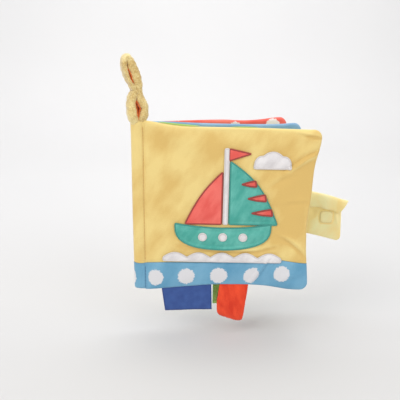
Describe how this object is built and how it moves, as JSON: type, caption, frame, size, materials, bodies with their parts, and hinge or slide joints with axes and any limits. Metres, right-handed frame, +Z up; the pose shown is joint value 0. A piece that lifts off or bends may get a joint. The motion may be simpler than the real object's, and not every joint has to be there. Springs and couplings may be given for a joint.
{
  "type": "soft cloth baby book",
  "caption": "Soft cloth book with padded leaves fanned from a bound spine, a hanging loop, a closure tab and ribbon tags along the bottom edge.",
  "frame": {"origin": "middle of the spine's foot, the flat lower end of the bound edge that stands on a ledge", "axes": "+X from the spine towards the fore-edge of the front cover, +Y away from the reader, +Z up"},
  "size_m": [0.2253, 0.0639, 0.2548],
  "materials": {
    "velour_yellow": "warm yellow cotton-rich velour, soft short pile",
    "velour_lemon": "pale lemon velour, slightly worn pile",
    "terry_lemon": "pale lemon terry strap, looped pile",
    "velour_orange": "orange cotton lining",
    "plush_blue_dotted": "mid blue plush with round white dots",
    "velour_blue": "mid blue velour page",
    "velour_green": "light green velour page",
    "plush_coral_dotted": "coral red plush with round white dots",
    "plush_coral": "orange red plush ribbon",
    "satin_green": "grass green satin ribbon",
    "woven_navy": "dark blue woven damask label, bare",
    "applique_teal": "teal plush appliqué with satin stitched edge",
    "applique_coral": "coral felt appliqué",
    "applique_white": "white plush appliqué",
    "wadding_white": "white polyester wadding and raw bound edges"
  },
  "bodies": {
    "root": {"spine_wrap": "velour_yellow", "spine_band": "plush_blue_dotted", "bound_edges": "wadding_white", "back_cover_lining": "plush_coral_dotted", "back_cover_panel": "velour_yellow", "back_cover_band": "plush_blue_dotted", "back_cover_wadding": "wadding_white"},
    "inner_leaf": {"inner_leaf_front_face": "velour_blue", "inner_leaf_rear_face": "velour_green", "inner_leaf_wadding": "wadding_white"},
    "front_cover": {"front_cover_panel": "velour_yellow", "front_cover_band": "plush_blue_dotted", "front_cover_lining": "velour_green", "front_cover_wadding": "wadding_white", "boat_hull": "applique_teal", "boat_mainsail": "applique_teal", "boat_jib": "applique_coral", "boat_pennant": "applique_coral", "boat_mast": "applique_white", "sea_wave": "applique_white", "cloud": "applique_white", "porthole_left": "applique_white", "porthole_middle": "applique_white", "porthole_right": "applique_white"},
    "closure_tab": {"closure_tab_front_ply": "velour_lemon", "closure_tab_rear_ply": "velour_lemon", "hook_patch": "velour_lemon"},
    "hanging_loop": {"hanging_loop_strap": "terry_lemon", "lower_eye_lining": "velour_orange", "upper_eye_lining": "velour_orange"},
    "label": {"woven_label": "woven_navy"},
    "red_tag": {"red_ribbon_tag": "plush_coral"},
    "green_tag": {"green_ribbon_tag": "satin_green"}
  },
  "joints": [
    {"name": "front_cover_hinge", "type": "hinge", "parent": "root", "child": "front_cover", "pos_m": [0.00665, -0.00345, 0], "axis": [0, 0, -1], "range_deg": [-7, 150]},
    {"name": "inner_leaf_hinge", "type": "hinge", "parent": "root", "child": "inner_leaf", "pos_m": [0.00865, -0.00105, 0], "axis": [0, 0, -1], "range_deg": [-5, 91]},
    {"name": "closure_tab_hinge", "type": "hinge", "parent": "root", "child": "closure_tab", "pos_m": [0.14544, 0.05013, 0.065], "axis": [0, 0, -1], "range_deg": [-110, 45]},
    {"name": "hanging_loop_sway", "type": "hinge", "parent": "root", "child": "hanging_loop", "pos_m": [0, 0, 0.16223], "axis": [-0.342, 0.9397, 0], "range_deg": [-20, 20], "stiffness_Nm_per_rad": 0.02},
    {"name": "woven_label_flap", "type": "hinge", "parent": "front_cover", "child": "label", "pos_m": [0.02215, -0.0024, -0.001], "axis": [-1, 0, 0], "range_deg": [-60, 60]},
    {"name": "red_tag_flap", "type": "hinge", "parent": "front_cover", "child": "red_tag", "pos_m": [0.07715, -0.0024, -0.00145], "axis": [-1, 0, 0], "range_deg": [-14, 60]},
    {"name": "green_tag_flap", "type": "hinge", "parent": "inner_leaf", "child": "green_tag", "pos_m": [0.07101, 0.00989, -0.0012], "axis": [-0.9877, -0.1564, 0], "range_deg": [-60, 20]}
  ],
  "couplings": [
    {"joint": "inner_leaf_hinge", "follows": "front_cover_hinge", "ratio": 0.6}
  ]
}
